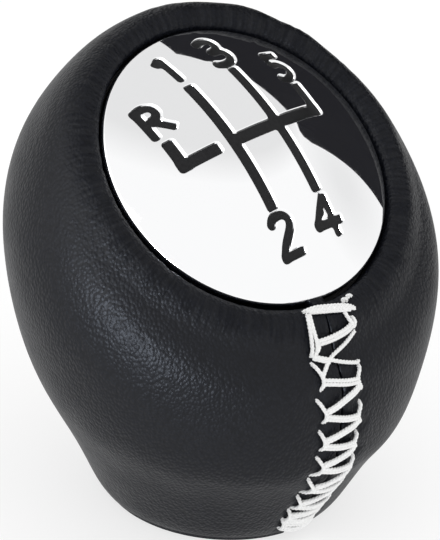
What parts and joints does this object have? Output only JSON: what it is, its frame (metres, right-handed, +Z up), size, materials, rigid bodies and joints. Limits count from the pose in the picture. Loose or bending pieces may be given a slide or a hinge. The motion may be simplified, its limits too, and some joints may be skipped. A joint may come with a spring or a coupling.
{
  "type": "gear shift knob",
  "caption": "Egg-shaped gear shift knob wrapped in dark leather laced with white thread, with a tilted domed chrome cap showing the shift gate, that pushes on to a round lever.",
  "frame": {"origin": "where the lever's axis meets the plane of the base", "axes": "+Z up along the lever's axis, +X to the driver's right, -Y towards the driver, so the cap leans towards -Y"},
  "size_m": [0.0532, 0.0503, 0.0554],
  "materials": {
    "leather": "fine-grained matt leather",
    "thread": "twisted sewing thread",
    "chrome": "bright plating on plastic, black paint in the engraved gate",
    "core_plastic": "moulded black plastic",
    "bush_plastic": "moulded dark grey plastic"
  },
  "bodies": {
    "root": {"leather_cover": "leather", "left_edge_stitches": "thread", "right_edge_stitches": "thread", "lacing_thread": "thread", "pattern_cap": "chrome", "knob_core": "core_plastic", "lever_bush": "bush_plastic"}
  },
  "joints": []
}
